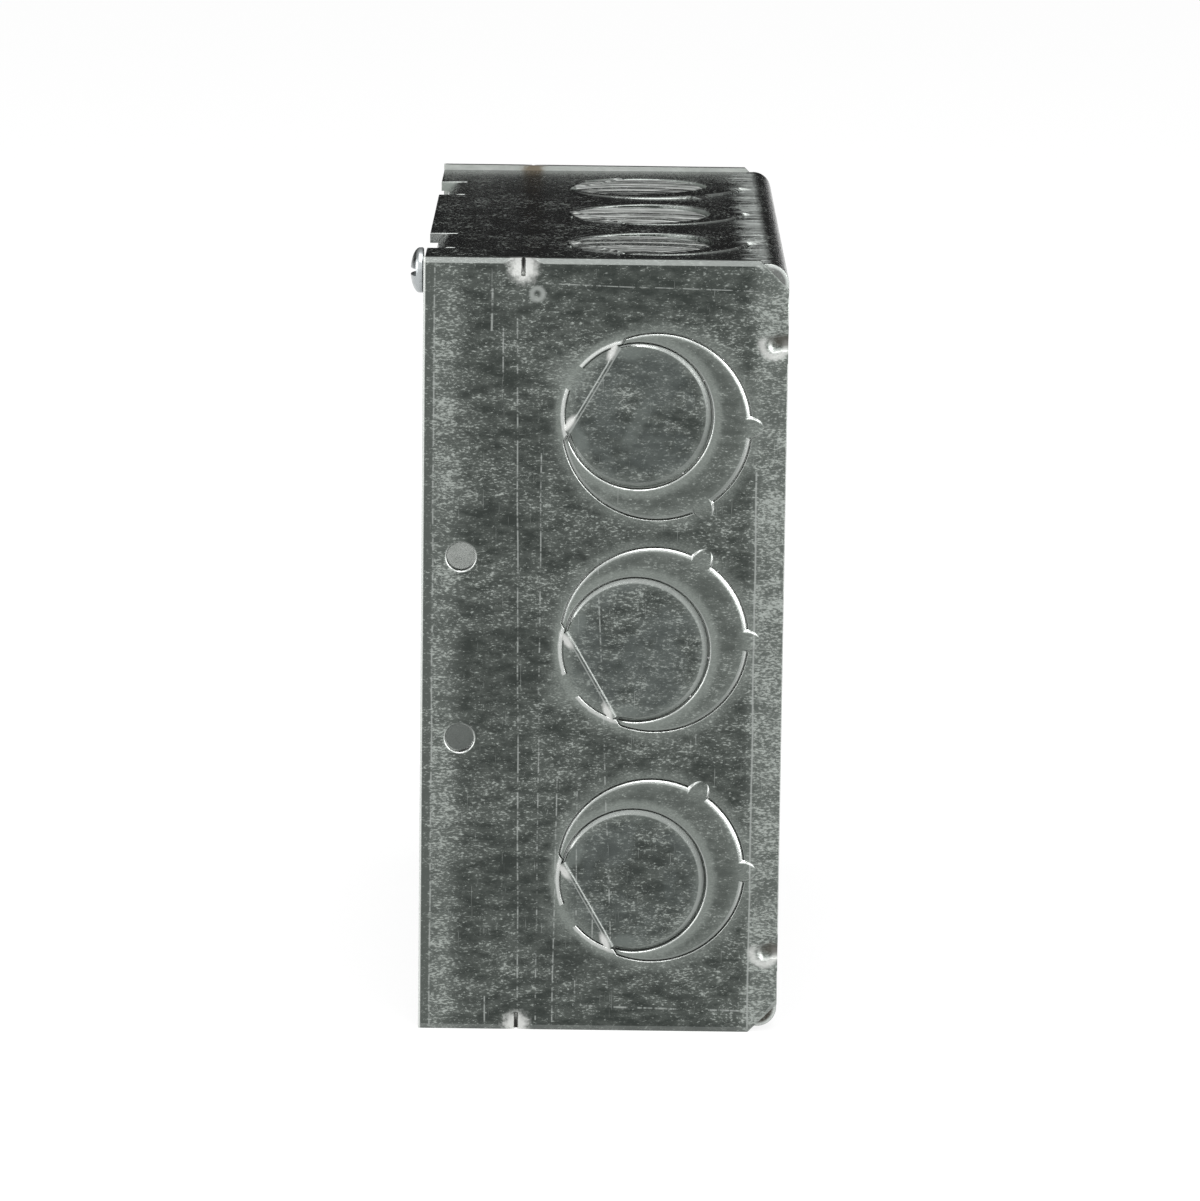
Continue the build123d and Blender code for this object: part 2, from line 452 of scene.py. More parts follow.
sidePlate = {
    "cornerCut": 4.4,
    "nailHoleRadius": 2.15,
    "nailHoleSpacing": 28.0,
    "nailHoleFromFront": 6.0,
    "nailHoleSegments": 48,
    "weldFromFront": 15.0,
    "weldFromEnd": 12.6,
    "dishRadius": 2.9,      # half width and round end of a pinch
    "dishRun": 1.3,         # straight sides in front of it
    "dishDepth": 0.5,
    "dishRings": 20,
    "dishSteps": 96,
    "outlineSteps": 72,
    "slitWidth": 0.5,
    "slitLength": 2.6,
    "slitDepth": 1.3,
    "spotDepth": 0.62,      # rounder pinches on the back edge
    "spotRadius": 1.9,
    "spotIn": 1.9,
    "rimAngle": (0.3, 0.45),    # where the slanting edge meets the face
}


def pinchReach(angle):
    # distance from the middle of a pinch's edge to its outline
    radius = sidePlate["dishRadius"]
    run = sidePlate["dishRun"]
    if abs(cos(angle)) * run > sin(angle) * radius:
        return radius / abs(cos(angle))
    return run * sin(angle) + sqrt((run * sin(angle)) ** 2 + radius ** 2 - run ** 2)


def slitDepth(x, y):
    half = 0.5 * sidePlate["slitWidth"]
    across = smoothShare(abs(x), half + 0.1, half - 0.08)
    along = smoothShare(y, sidePlate["slitLength"] + 0.2, sidePlate["slitLength"] - 0.2)
    return sidePlate["slitDepth"] * across * along


def spotDepth(x, y):
    # oval hollow that runs out over the edge
    across = x / sidePlate["spotRadius"]
    along = max(y - sidePlate["spotIn"], 0) / (0.75 * sidePlate["spotRadius"])
    return sidePlate["spotDepth"] * smoothShare(hypot(across, along), 1, 0.25)


def weldDish(markDepth):
    # a shallow dish with a deeper mark in it, its straight side on the plate's edge along X
    rings = sidePlate["dishRings"]
    profile = [(step / rings, 0) for step in range(rings + 1)]
    bm = spinProfile(profile, pi, sidePlate["dishSteps"], closed=False)
    for vert in bm.verts:
        share = hypot(vert.co.x, vert.co.y)
        reach = pinchReach(max(atan2(vert.co.y, vert.co.x), 0))
        x = vert.co.x * reach
        y = vert.co.y * reach
        edge = sheet["plateRimDepth"] * (1 - y / sheet["plateRim"]) if markDepth is slitDepth else 0
        depth = sidePlate["dishDepth"] * (1 - share ** 2) ** 2
        vert.co = (x, y, -max(depth, edge, markDepth(x, y), 0))
    giveFloor(bm, -sheet["thickness"])
    return bm


def platePinches():
    # place on the plate's edge, turn, and the mark that is pressed there
    front = sidePlate["weldFromFront"] - boxDepth
    end = halfSide - sidePlate["weldFromEnd"]
    return [
        (front, halfSide, pi, slitDepth),
        (front, -halfSide, 0, slitDepth),
        (0, end, pi / 2, spotDepth),
        (0, -end, pi / 2, spotDepth),
    ]


def plateRim(x, y):
    for pinchX, pinchY, turn, mark in platePinches():
        spot = Matrix.Rotation(-turn, 3, "Z") @ Vector((x - pinchX, y - pinchY, 0))
        if hypot(spot.x, spot.y) < pinchReach(max(atan2(spot.y, spot.x), 0)) + near:
            return 0
    if abs(y) > halfSide - near or abs(y) + x > halfSide - sidePlate["cornerCut"] - near:
        return sheet["plateRim"]
    if x < -boxDepth + near:
        return sheet["frontRim"]
    if x > -near:
        return sheet["rim"]
    if x < -boxDepth + 2 * sidePlate["nailHoleFromFront"]:
        return sheet["holeRim"]
    return wallRim(x, y)


def pinchOutline(bm, tip, x, y, turn):
    # draws round a pinch, from its +X side to its -X side
    radius = sidePlate["dishRadius"]
    run = sidePlate["dishRun"]
    spots = []
    for across, along in ((radius, 0), (radius, run), (0, run), (-radius, 0)):
        spot = Matrix.Rotation(turn, 3, "Z") @ Vector((across, along, 0)) + Vector((x, y, 0))
        spots.append((spot.x, spot.y))
    tip = linesTo(bm, tip, spots[0], spots[1])
    tip = arcBy(bm, tip, spots[2], pi, sidePlate["outlineSteps"])
    return linesTo(bm, tip, spots[3])


def plateShape():
    cut = sidePlate["cornerCut"]
    top, bottom, backTop, backBottom = platePinches()
    bm = bmesh.new()
    tip = bm.verts.new((-boxDepth, -halfSide, 0))
    tip = linesTo(bm, tip, (-boxDepth, halfSide))
    tip = pinchOutline(bm, tip, *top[:3])
    tip = linesTo(bm, tip, (-cut, halfSide), (0, halfSide - cut))
    tip = pinchOutline(bm, tip, *backTop[:3])
    tip = pinchOutline(bm, tip, *backBottom[:3])
    tip = linesTo(bm, tip, (0, cut - halfSide), (-cut, -halfSide))
    tip = pinchOutline(bm, tip, *bottom[:3])
    linesTo(bm, tip, (-boxDepth, -halfSide))
    for side in (-1, 1):
        circleLoop(bm, sidePlate["nailHoleFromFront"] - boxDepth, side * sidePlate["nailHoleSpacing"] / 2,
                   sidePlate["nailHoleRadius"], sidePlate["nailHoleSegments"])
    for place in knockoutPlaces():
        gather(bm, knockoutOpening(), place)
    thickPanel(bm, plateRim)
    for vert in bm.verts:
        if abs(vert.co.z + sheet["plateRim"]) < near:
            vert.co.z = -sheet["plateRimDepth"]
    # the slanting edge meets the face in a crisp line
    low, high = sidePlate["rimAngle"]
    bm.normal_update()
    for edge in bm.edges:
        if len(edge.link_faces) == 2 and low < edge.calc_face_angle() < high:
            edge.smooth = False
    for x, y, turn, mark in platePinches():
        gather(bm, weldDish(mark), Matrix.Translation((x, y, 0)) @ Matrix.Rotation(turn, 4, "Z"))
    addKnockouts(bm, knockout["ringRim"])
    return bm


# Zinc finishes. Patterns are measured in millimetres on Object coordinates.

zincFinish = {
    "darkTone": (0.040, 0.046, 0.042, 1),
    "midTone": (0.086, 0.096, 0.088, 1),
    "flapTone": (0.024, 0.027, 0.025, 1),
    "fleckTone": (0.38, 0.41, 0.385, 1),
    "paleTone": (0.22, 0.242, 0.224, 1),
    "slugTone": (0.122, 0.138, 0.134, 1),
    # scratches, and painted highlight on rims
    "scratchAndHighlightTone": (0.32, 0.34, 0.325, 1),
    "burnishAndHighlightTone": (0.54, 0.56, 0.54, 1),     # painted highlight on edges and burrs, and rubbed flap slugs with painted reflection
    "rubTone": (0.145, 0.163, 0.153, 1),
    "wornTone": (0.50, 0.53, 0.51, 1),
    # weld marks, and painted highlight in the spots
    "weldAndHighlightTone": (0.58, 0.59, 0.57, 1),
    # heat tint, with painted shade in the spots' upper walls
    "heatAndShadeTone": (0.055, 0.049, 0.040, 1),
    "scorchTone": (0.14, 0.105, 0.062, 1),
    # painted shade in the pinches' slits
    "slitShadeTone": (0.02, 0.02, 0.018, 1),
    "innerTone": (0.44, 0.46, 0.44, 1),
    "innerShade": (0.175, 0.19, 0.18, 1),
    "cutTone": (0.28, 0.29, 0.28, 1),
    "screwTone": (0.43, 0.455, 0.46, 1),
    "grainStrength": 0.3,
    "grainDistance": 0.00003,
}


def newNode(tree, kind, **settings):
    node = tree.nodes.new(kind)
    for name, value in settings.items():
        setattr(node, name, value)
    return node


def treeOf(*values):
    # the node tree that the sockets among the values belong to
    return next(value.id_data for value in values if isinstance(value, bpy.types.NodeSocket))


def feed(socket, value):
    # a socket is linked, a plain value is written
    if isinstance(value, bpy.types.NodeSocket):
        socket.id_data.links.new(value, socket)
    else:
        socket.default_value = value


def feedAll(node, **values):
    for label, value in values.items():
        feed(node.inputs[label], value)
    return node.outputs


def calc(operation, first, second=0.0, third=0.0, clamp=False):
    node = newNode(treeOf(first, second, third), "ShaderNodeMath", operation=operation, use_clamp=clamp)
    for socket, value in zip(node.inputs, (first, second, third)):
        feed(socket, value)
    return node.outputs[0]


def times(first, second, clamp=False):
    return calc("MULTIPLY", first, second, clamp=clamp)


def timesPlus(value, factor, plus):
    return calc("MULTIPLY_ADD", value, factor, plus)


def larger(first, second):
    return calc("MAXIMUM", first, second)


def joinMasks(masks):
    joined = masks[0]
    for mask in masks[1:]:
        joined = larger(joined, mask)
    return joined


def vectorCalc(operation, first, second, result=0):
    node = newNode(treeOf(first, second), "ShaderNodeVectorMath", operation=operation)
    feed(node.inputs[0], first)
    feed(node.inputs[1], second)
    return node.outputs[result]


def distance(first, second):
    return vectorCalc("DISTANCE", first, second, "Value")


def dot(first, second):
    return vectorCalc("DOT_PRODUCT", first, second, "Value")


def splitVector(vector):
    sides = feedAll(newNode(treeOf(vector), "ShaderNodeSeparateXYZ"), Vector=vector)
    return sides["X"], sides["Y"], sides["Z"]


def joinVector(x, y):
    return feedAll(newNode(treeOf(x, y), "ShaderNodeCombineXYZ"), X=x, Y=y)[0]


def ramp(value, low, high, lowOut=0.0, highOut=1.0):
    # smooth step between two values
    node = newNode(treeOf(value), "ShaderNodeMapRange", interpolation_type="SMOOTHSTEP")
    limits = {"Value": value, "From Min": low, "From Max": high, "To Min": lowOut, "To Max": highOut}
    return feedAll(node, **limits)["Result"]


def cloud(vector, scale, detail, roughness=0.5):
    node = newNode(treeOf(vector), "ShaderNodeTexNoise")
    return feedAll(node, Vector=vector, Scale=scale, Detail=detail, Roughness=roughness)["Fac"]


def blend(share, first, second):
    node = newNode(treeOf(share), "ShaderNodeMix", data_type="RGBA")
    return feedAll(node, Factor=share, A=first, B=second)["Result"]


def paint(tone, layers):
    # lays finishes over each other: mask, share of it, name of the finish's tone
    for mask, share, name in layers:
        tone = blend(times(mask, share) if share < 1 else mask, tone, zincFinish[name])
    return tone


def newGroup(name, vectors, values, results):
    group = bpy.data.node_groups.new(name, "ShaderNodeTree")
    sockets = [(label, "INPUT", "NodeSocketVector") for label in vectors]
    sockets += [(label, "INPUT", "NodeSocketFloat") for label in values]
    sockets += [(label, "OUTPUT", "NodeSocketFloat") for label in results]
    for label, side, kind in sockets:
        group.interface.new_socket(label, in_out=side, socket_type=kind)
    return group, newNode(group, "NodeGroupInput").outputs, newNode(group, "NodeGroupOutput").inputs


def useGroup(group, **values):
    return feedAll(newNode(treeOf(*values.values()), "ShaderNodeGroup", node_tree=group), **values)


def zincGrainGroup():
    # rolled zinc: dark clouds, light flecks drawn out along the rolling direction, fine sparkle
    group, given, result = newGroup(
        "zincGrain", ["Vector", "Drawn"], ["Cover"], ["Clouds", "Flecks", "Sparkle"])
    drawn = vectorCalc("MULTIPLY", given["Vector"], given["Drawn"])
    broad = ramp(cloud(drawn, 0.11, 3.0, 0.55), 0.36, 0.66)
    middle = cloud(drawn, 0.5, 5.0, 0.65)
    fleck = cloud(drawn, 2.7, 4.0, 0.75)
    sparkle = cloud(drawn, 4.5, 3.0, 0.6)
    lifted = timesPlus(broad, 0.055, fleck)
    lifted = timesPlus(calc("SUBTRACT", middle, 0.5), 0.30, lifted)
    lifted = calc("ADD", lifted, given["Cover"])
    feed(result["Flecks"], ramp(lifted, 0.565, 0.72))
    feed(result["Clouds"], ramp(timesPlus(broad, 0.12, middle), 0.36, 0.72))
    feed(result["Sparkle"], ramp(sparkle, 0.42, 0.66))
    return group


def pressHaloGroup():
    # light worn band along a pressed circle
    group, given, result = newGroup("pressHalo", ["Vector", "Centre"], ["Radius", "Width"], ["Mask"])
    away = distance(given["Vector"], given["Centre"])
    off = calc("ABSOLUTE", calc("SUBTRACT", away, given["Radius"]))
    rough = cloud(given["Vector"], 0.9, 4.0, 0.65)
    edge = times(given["Width"], timesPlus(rough, 1.4, 0.3))
    feed(result["Mask"], ramp(off, 0.1, edge, 1.0, 0.0))
    return group


def pressMarkGroup():
    # soft oval mark with a ragged outline
    group, given, result = newGroup(
        "pressMark", ["Vector", "Centre", "Along"], ["Length", "Width", "Ragged"], ["Mask"])
    off = vectorCalc("SUBTRACT", given["Vector"], given["Centre"])
    along = dot(off, given["Along"])
    across = calc("SUBTRACT", dot(off, off), times(along, along))
    across = calc("DIVIDE", across, times(given["Width"], given["Width"]))
    along = calc("DIVIDE", along, given["Length"])
    share = calc("SQRT", larger(timesPlus(along, along, across), 0.0))
    rough = calc("SUBTRACT", cloud(given["Vector"], 1.3, 4.0, 0.65), 0.5)
    share = timesPlus(rough, given["Ragged"], share)
    feed(result["Mask"], ramp(share, 1.0, 0.3))
    return group


def scratchGroup():
    # broken straight scratch
    group, given, result = newGroup(
        "scratch", [], ["Across", "Along", "From", "To", "Width", "Broken"], ["Mask"])
    place = joinVector(given["Along"], given["From"])
    wander = timesPlus(cloud(place, 0.05, 2.0), 0.5, -0.25)
    off = calc("ABSOLUTE", calc("ADD", given["Across"], wander))
    line = ramp(off, times(given["Width"], 0.3), given["Width"], 1.0, 0.0)
    inside = times(calc("GREATER_THAN", given["Along"], given["From"]),
                   calc("LESS_THAN", given["Along"], given["To"]))
    slitShades = cloud(place, 0.75, 4.0, 0.7)
    kept = ramp(slitShades, given["Broken"], calc("ADD", given["Broken"], 0.12))
    feed(result["Mask"], times(times(line, inside), kept))
    return group


def rimPolishAndHighlightGroup():
    # polish and painted highlight on drawn and rounded places, where the surface leaves the box's main
    # directions
    group, given, result = newGroup("rimPolishAndHighlight", ["Normal"], [], ["Mask", "Strong"])
    sides = splitVector(vectorCalc("ABSOLUTE", given["Normal"], (0, 0, 0)))
    most = joinMasks(sides)
    feed(result["Mask"], ramp(most, 0.972, 0.925))
    feed(result["Strong"], ramp(most, 0.90, 0.80))
    return group


def insideFaceGroup():
    # duller faces that look towards the middle of the box
    group, given, result = newGroup("insideFace", ["Vector", "Normal"], [], ["Mask"])
    middle = vectorCalc("SUBTRACT", given["Vector"], (0, -boxDepth / 2, 0))
    feed(result["Mask"], ramp(dot(given["Normal"], middle), -8.0, -20.0))
    return group


zincGrain = zincGrainGroup()
pressHalo = pressHaloGroup()
pressMark = pressMarkGroup()
scratch = scratchGroup()
rimPolishAndHighlight = rimPolishAndHighlightGroup()
insideFace = insideFaceGroup()


def startMaterial(name):
    material = bpy.data.materials.new(name)
    material.use_nodes = True
    tree = material.node_tree
    surface = tree.nodes["Principled BSDF"]
    surface.inputs["Metallic"].default_value = 1.0
    place = newNode(tree, "ShaderNodeTexCoord")
    millimetres = newNode(tree, "ShaderNodeVectorMath", operation="SCALE")
    feed(millimetres.inputs[0], place.outputs["Object"])
    millimetres.inputs["Scale"].default_value = 1 / mm
    return material, surface, millimetres.outputs[0], place.outputs["Normal"]


def addGrainBump(surface, grain):
    height = calc("ADD", grain["Flecks"], grain["Sparkle"])
    bump = feedAll(newNode(treeOf(height), "ShaderNodeBump"), Height=height,
                   Strength=zincFinish["grainStrength"], Distance=zincFinish["grainDistance"])
    feed(surface.inputs["Normal"], bump["Normal"])


def creaseWedge(spread, spot, side):
    # worn place at an end of a knockout's fold line
    centre = spot @ Vector((knockout["creaseAt"] + 0.6, side * (knockout["creaseAt"] - 1.5), 0))
    along = spot.to_3x3() @ Vector((0.12 * side, 1, 0)).normalized()
    return useGroup(pressMark, Vector=spread, Centre=centre, Along=along, Length=2.1, Width=0.8,
                    Ragged=0.3)["Mask"]


plateMarks = {
    # upright and level scratches on the +X plate: across, slope, from, to, width, broken
    "upright": [
        (-53.2, 0.0, -59.0, 58.0, 0.16, 0.42),
        (-40.2, 0.010, -58.0, 50.5, 0.16, 0.43),
        (-36.9, 0.0, -58.0, 30.0, 0.15, 0.47),
        (-33.8, -0.010, -58.5, -20.0, 0.15, 0.43),
        (-30.9, 0.0, -55.0, -22.0, 0.13, 0.47),
        (-27.6, 0.045, -45.0, 14.0, 0.15, 0.46),
        (-44.7, 0.0, -58.5, -54.3, 0.16, 0.36),
        (-28.4, 0.0, -46.5, -40.0, 0.14, 0.38),
        (-45.6, -0.02, 48.5, 55.0, 0.22, 0.40),
        (-42.8, 0.0, 42.0, 49.0, 0.16, 0.40),
        (-4.45, 0.0, -59.0, 27.5, 0.2, 0.28),
    ],
    "level": [
        (54.8, 0.026, -36.5, -4.5, 0.11, 0.42),
        (-56.4, 0.026, -30.0, -5.0, 0.2, 0.46),
    ],
    # a small ring: depth, height, radius, width
    "spot": (-37.75, 54.2, 0.85, 0.65),
    # a smooth rubbed place: depth, height, slant, half length, half width
    "rub": (-22.6, 34.6, 68.0, 6.5, 1.7),
    "rubShare": 0.65,
    # depths between which a band along the plate comes in: the front and back bands are painted
    # reflection, the lip a darker line and the brink a painted highlight
    "frontSheenBand": (-47.5, -51.5),
    "backSheenBand": (-6.5, -3.5),
    "lip": (-53.1, -53.6),
    "brinkHighlight": (-54.5, -54.7),
    # heights between which the inner face turns from painted shade below to its light tone
    "innerLight": (-32.0, -12.0),
    # worn band along the knockouts' circles, and round their hinges
    "haloWidth": 2.4,
    "hingeHalo": (0.5, 4.4),
    # rubbed places on a slug: angle from the hinge, distance from the middle, half length, half width
    "slugRub": (54.0, 9.5, 2.8, 1.5),
    # marks at the welds: distance from the edge, half length, half width, raggedness; the slit's dark line
    # is painted shade, the spot's dark mark is heat tint with painted shade, and the dull spot keeps the
    # painted rim highlight off
    "upperGlow": (1.2, 3.0, 3.5, 0.8),
    "lowerGlow": (0.9, 2.7, 2.5, 0.8),
    "slitShade": (0.6, 2.5, 0.26, 0.0),
    "spotDull": (1.0, 3.4, 2.6, 0.3),
    "spotHeatAndShade": (0.9, 2.7, 1.4, 0.6),
    "scorch": (1.0, 2.6, 3.4, 0.9),
    "heatAndShadeRise": 0.55,
    # painted highlight, a bright crescent on a spot's lower wall: distance from the edge, radius, width
    "crescent": (2.1, 1.85, 0.9),
    # heights above the spot between which it comes in, and its least and most
    "crescentFade": (1.6, 0.2, 0.0, 0.7),
}


def plateMaterial():
    material, surface, place, normal = startMaterial("plateZinc")
    x, y, z = splitVector(place)
    inner = useGroup(insideFace, Vector=place, Normal=normal)["Mask"]
    frontSheenBand, backSheenBand, lip, brinkHighlight = [
        ramp(y, *plateMarks[band]) for band in ("frontSheenBand", "backSheenBand", "lip", "brinkHighlight")]
    # painted reflection: paler bands by the front and back edges, with more light flecks
    band = larger(frontSheenBand, times(backSheenBand, 1.3))
    cover = timesPlus(band, 0.062, -0.005)
    cover = timesPlus(lip, -0.07, cover)
    # depth and height on the plate, the left plate being the right one turned over
    turned = times(z, calc("SIGN", x))
    spread = joinVector(y, turned)
    outside = calc("GREATER_THAN", x, 0.0)

    def mark(centre, along, length, width, ragged):
        return useGroup(pressMark, Vector=spread, Centre=centre, Along=along, Length=length,
                        Width=width, Ragged=ragged)["Mask"]

    def halo(centre, radius, width):
        return useGroup(pressHalo, Vector=spread, Centre=centre, Radius=radius, Width=width)["Mask"]

    halos = []
    slugs = []
    rings = []
    drawn = []
    burrHighlights = []
    rubs = []
    wedges = []
    slugRadius = knockout["slugRadius"]
    rubAngle, rubAway, rubLength, rubWidth = plateMarks["slugRub"]
    for spot in knockoutPlaces():
        slug = spot.translation
        ring = spot @ Vector((ringCentre(), 0, 0))
        for masks, centre, radius in ((slugs, slug, slugRadius), (rings, ring, knockout["ringRadius"])):
            masks.append(ramp(distance(spread, centre), radius + 0.2, radius - 0.4))
            halos.append(halo(centre, radius, plateMarks["haloWidth"]))
        halos.append(halo(spot @ Vector((slugRadius + 1.0, 0, 0)), *plateMarks["hingeHalo"]))
        drawn.append(halo(slug, slugRadius + 0.7, 1.3))
        off = vectorCalc("SUBTRACT", spread, slug)
        along = dot(off, spot.to_3x3() @ Vector((1, 0, 0)))
        across = calc("ABSOLUTE", dot(off, spot.to_3x3() @ Vector((0, 1, 0))))
        hinge = times(calc("GREATER_THAN", along, knockout["creaseAt"]),
                      calc("GREATER_THAN", across, knockout["hingeWidth"] / 2))
        # painted highlight along the burr outside each hinge slit
        burrHighlights.append(times(halo(slug, slugRadius + 0.4, 0.45), hinge))
        for side in (-1, 1):
            wedges.append(creaseWedge(spread, spot, side))
            angle = side * radians(rubAngle)
            rubbed = spot @ Vector((rubAway * cos(angle), rubAway * sin(angle), 0))
            along = spot.to_3x3() @ Vector((-sin(angle), cos(angle), 0))
            rubs.append(mark(rubbed, along, rubLength, rubWidth, 0.5))
    slugs = joinMasks(slugs)
    rings = calc("SUBTRACT", joinMasks(rings), slugs, clamp=True)
    cover = timesPlus(slugs, 0.02, cover)
    grain = useGroup(zincGrain, Vector=place, Drawn=(1.0, 0.6, 1.5), Cover=cover)
    rubY, rubZ, slant, length, width = plateMarks["rub"]
    rubbed = mark((rubY, rubZ, 0), (cos(radians(slant)), sin(radians(slant)), 0), length, width, 1.1)
    rubs.append(times(times(rubbed, outside), plateMarks["rubShare"]))

    lines = []
    for marks, across, along in (("upright", y, z), ("level", z, y)):
        for at, slope, start, end, width, broken in plateMarks[marks]:
            sloping = timesPlus(along, slope, calc("SUBTRACT", across, at))
            lines.append(useGroup(scratch, Across=sloping, Along=along, From=start, To=end,
                                  Width=width, Broken=broken)["Mask"])
    spotY, spotZ, spotRadius, spotWidth = plateMarks["spot"]
    lines.append(halo((spotY, spotZ, 0), spotRadius, spotWidth))
    streaked = vectorCalc("MULTIPLY", place, (1.0, 4.5, 0.22))
    lines.append(ramp(cloud(streaked, 0.9, 2.0, 0.5), 0.70, 0.76, 0.0, 0.55))
    lines = times(joinMasks(lines), outside)

    def weldMark(name, edge, inwards, along, rise=0.0):
        inset, *form = plateMarks[name]
        return mark(edge + inset * inwards + Vector((0, rise, 0)), along, *form)

    weldMarksAndHighlights = []
    heatsAndShade = []
    slitShades = []
    dulled = []
    scorched = []
    for weldY, weldZ, turn, pinch in platePinches():
        edge = Vector((weldY, weldZ, 0))
        inwards = Matrix.Rotation(turn, 3, "Z") @ Vector((0, 1, 0))
        sideways = Matrix.Rotation(turn, 3, "Z") @ Vector((1, 0, 0))
        if pinch is slitDepth:
            weldMarksAndHighlights.append(weldMark("upperGlow" if weldZ > 0 else "lowerGlow", edge, inwards, sideways))
            # painted shade down the pinch's slit
            slitShades.append(weldMark("slitShade", edge, inwards, inwards))
        else:
            # painted highlight on the lower wall of the spot's hollow, fading out above
            inset, radius, width = plateMarks["crescent"]
            high, low, *shares = plateMarks["crescentFade"]
            fade = ramp(turned, weldZ + high, weldZ + low, *shares)
            weldMarksAndHighlights.append(times(halo(edge + inset * inwards, radius, width), fade))
            dulled.append(weldMark("spotDull", edge, inwards, inwards))
            # heat tint and painted shade on the upper, downward-facing wall of the spot's hollow
            heatsAndShade.append(weldMark("spotHeatAndShade", edge, inwards, inwards, plateMarks["heatAndShadeRise"]))
        scorched.append(weldMark("scorch", edge, inwards, sideways))

    # painted highlight on the rims, lighter on slopes that look up: slopes that look down stay dull, and
    # so do the spots
    rims = useGroup(rimPolishAndHighlight, Normal=normal)
    lit = ramp(splitVector(normal)[2], -0.42, -0.05, 0.25, 1.0)
    kept = timesPlus(joinMasks(dulled), -0.5, 1.0)
    polishAndHighlight = times(times(rims["Mask"], lit), kept)
    strongPolishAndHighlight = times(times(rims["Strong"], lit), kept)

    worn = ramp(cloud(place, 0.16, 3.0, 0.6), 0.42, 0.62)
    slugShare = times(timesPlus(worn, 0.34, 0.04), slugs)
    haloShare = times(joinMasks(halos), timesPlus(grain["Sparkle"], 0.4, 0.34))
    drawnShare = times(joinMasks(drawn), calc("SUBTRACT", 1.0, slugs))
    drawnShare = times(drawnShare, timesPlus(grain["Sparkle"], 0.4, 0.5))
    tone = blend(grain["Clouds"], zincFinish["darkTone"], zincFinish["midTone"])
    tone = paint(tone, [
        (band, 0.26, "paleTone"),
        (lip, 0.85, "midTone"),
        (grain["Flecks"], 0.85, "fleckTone"),
        (slugShare, 1, "slugTone"),
        (rings, 0.22, "paleTone"),
        (haloShare, 1, "paleTone"),
        (drawnShare, 1, "paleTone"),
        (joinMasks(rubs), 0.75, "rubTone"),
        (lines, 0.8, "scratchAndHighlightTone"),
        # painted highlight: rims lighter, and the steepest rims, the front brink and the burrs white
        (polishAndHighlight, 1, "scratchAndHighlightTone"),
        (larger(strongPolishAndHighlight, brinkHighlight), 1, "burnishAndHighlightTone"),
        (joinMasks(burrHighlights), 0.85, "burnishAndHighlightTone"),
        (joinMasks(wedges), 1, "weldAndHighlightTone"),
        (joinMasks(weldMarksAndHighlights), 1, "weldAndHighlightTone"),
        (joinMasks(heatsAndShade), 0.75, "heatAndShadeTone"),
        (joinMasks(slitShades), 1, "slitShadeTone"),
    ])
    # painted shade: the inner faces darker towards the bottom
    light = ramp(z, *plateMarks["innerLight"])
    innerTone = blend(light, zincFinish["innerShade"], zincFinish["innerTone"])
    innerTone = paint(innerTone, [
        (grain["Clouds"], 0.4, "paleTone"),
        (joinMasks(scorched), 0.85, "scorchTone"),
    ])
    rough = timesPlus(grain["Flecks"], 0.1, 0.36)
    rough = timesPlus(polishAndHighlight, -0.1, rough)
    feed(surface.inputs["Base Color"], blend(inner, tone, innerTone))
    feed(surface.inputs["Roughness"], timesPlus(inner, 0.2, rough))
    # the inner faces, and the painted highlight on the front brink, are less metallic
    feed(surface.inputs["Metallic"], timesPlus(larger(inner, brinkHighlight), -0.6, 1.0))
    addGrainBump(surface, grain)
    return material


def screwMaterial():
    material, surface, place = startMaterial("screwZinc")[:3]
    surface.inputs["Base Color"].default_value = zincFinish["screwTone"]
    smear = cloud(place, 0.8, 3.0, 0.6)
    feed(surface.inputs["Roughness"], ramp(smear, 0.3, 0.75, 0.22, 0.42))
    return material


plateZinc = plateMaterial()
screwZinc = screwMaterial()
print("plate and screw finishes are mixed")


# Side plates in place: depth along Y, height along Z, outer face towards +X.

plateStand = Matrix(((0, 0, 1, halfSide), (1, 0, 0, 0), (0, 1, 0, 0), (0, 0, 0, 1)))
for name, turn in (("right_side_plate", Matrix.Identity(4)), ("left_side_plate", halfTurn)):
    shape = plateShape()
    shape.transform(turn @ plateStand)
    piece = finishPiece(name + "_sheet", shape, plateZinc, name)


# Folded sheet: top, back and bottom

foldedSheet = {
    "bendRadius": 3.0,
    "inset": 0.6,           # the fold lies this far inside the plates' edges
    "drop": 0.3,            # the flaps slope towards each other by this much
    "earAt": 33.0,
    "earWidth": 15.8,
    "earLength": 10.6,
    "earBendRadius": 2.4,
    "earRecess": 1.1,
    "earCornerRadius": 3.0,
    "earCornerSteps": 10,
    "earHoleRadius": 2.15,
    "earHoleBelow": 4.65,
    "earHoleSegments": 32,
    "reliefWidth": 0.9,
    "reliefDepth": 4.2,
    "screwHoleRadius": 2.6,
    "screwHoleSpacing": 88.9,
    "screwHoleSegments": 40,
    "bossAt": 22.0,
    "bossRadius": 6.5,
    "bossHeight": 2.4,
    "bossHoleRadius": 2.42,
    "bossSegments": 64,
    "slugDrop": 0.4,
    "bendSteps": 14,
    # looks: rubbed slugs with painted reflection in streaks bowed about a far centre, the dull band before
    # the bend, and the depths between which the cut ends change at the bend and at the front
    "rubbedSlug": (10.9, 10.3),
    "sheenStreakBow": 17.0,
    "dullBand": (-5.8, -3.4),
    "dullEnd": (-2.0, -3.8),
    "dullRagged": 3.0,
    "bendEnd": (-3.5, -3.0),
    "frontEnd": (-44.0, -46.0),
}

halfWrap = halfSide - sheet["thickness"]
backHeight = halfSide - foldedSheet["inset"]
frontHeight = backHeight - foldedSheet["drop"]
earBendAt = foldedSheet["earRecess"] + foldedSheet["earBendRadius"] - boxDepth


